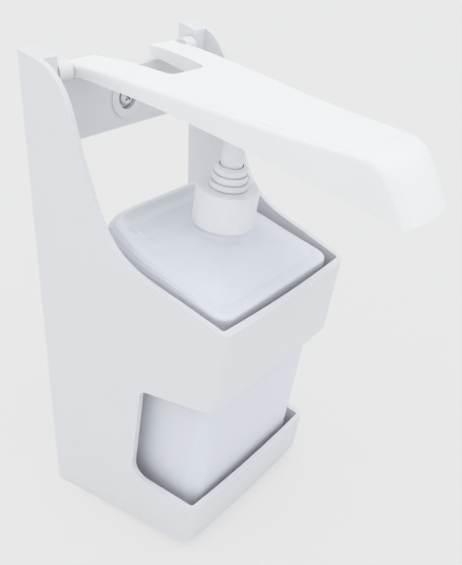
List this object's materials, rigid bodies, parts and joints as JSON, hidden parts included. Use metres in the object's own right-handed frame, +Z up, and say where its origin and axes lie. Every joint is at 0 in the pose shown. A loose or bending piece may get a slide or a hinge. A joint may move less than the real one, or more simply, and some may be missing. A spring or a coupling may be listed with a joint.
{
  "type": "elbow operated sanitizer dispenser",
  "caption": "White wall-mounted hand sanitizer dispenser with a long elbow lever over a pump bottle in an open moulded holder.",
  "frame": {"origin": "middle of the low back wall's flat outer face, which rests on the wall", "axes": "+Y into the wall, +X to the dispenser's right seen from the front, +Z up; the lever's nose points to -Y"},
  "size_m": [0.12, 0.1799, 0.2514],
  "materials": {
    "holder_plastic": "satin moulded white ABS",
    "lever_plastic": "satin moulded white ABS",
    "spacer_plastic": "white acetal",
    "bottle_plastic": "blow moulded white polyethylene",
    "pump_plastic": "satin white polypropylene",
    "pump_inner_plastic": "natural polypropylene",
    "piston_plastic": "soft polyethylene",
    "tube_plastic": "natural polyethylene",
    "gasket_foam": "foamed polyethylene",
    "stainless_steel": "bright drawn stainless steel"
  },
  "bodies": {
    "holder": {"holder": "holder_plastic", "wall_screw": "stainless_steel", "wall_screw_washer": "stainless_steel", "bottle": "bottle_plastic", "pump_closure": "pump_plastic", "closure_gasket": "gasket_foam", "pump_cylinder": "pump_inner_plastic", "pump_collar": "pump_plastic", "dip_tube": "tube_plastic", "return_spring": "stainless_steel"},
    "pivots": {"pivot_pin_left": "stainless_steel", "pivot_pin_right": "stainless_steel", "pivot_spacer_left": "spacer_plastic", "pivot_spacer_right": "spacer_plastic"},
    "lever": {"lever": "lever_plastic"},
    "plunger": {"pump_actuator": "pump_plastic", "pump_stem": "pump_inner_plastic", "pump_piston": "piston_plastic"},
    "inlet_valve": {"inlet_ball": "stainless_steel"},
    "outlet_valve": {"outlet_ball": "stainless_steel"}
  },
  "joints": [
    {"name": "lever_lift", "type": "hinge", "parent": "holder", "child": "pivots", "pos_m": [0, -0.0086, 0.2256], "axis": [1, 0, 0], "range_deg": [-65, 0]},
    {"name": "lever_press", "type": "hinge", "parent": "pivots", "child": "lever", "pos_m": [0, -0.0086, 0.2256], "axis": [1, 0, 0], "range_deg": [0, 10], "stiffness_Nm_per_rad": 2.56, "springref_deg": -6.42},
    {"name": "pump_stroke", "type": "slide", "parent": "holder", "child": "plunger", "axis": [0, 0.1323, -0.9912], "range_m": [0, 0.0125], "deforming": ["return_spring"]},
    {"name": "inlet_ball_lift", "type": "slide", "parent": "holder", "child": "inlet_valve", "axis": [0, -0.1323, 0.9912], "range_m": [0, 0.001]},
    {"name": "outlet_ball_lift", "type": "slide", "parent": "plunger", "child": "outlet_valve", "axis": [0, -0.1323, 0.9912], "range_m": [0, 0.001]}
  ],
  "couplings": [
    {"joint": "pump_stroke", "follows": "lever_press", "m_per_rad": 0.0715}
  ]
}
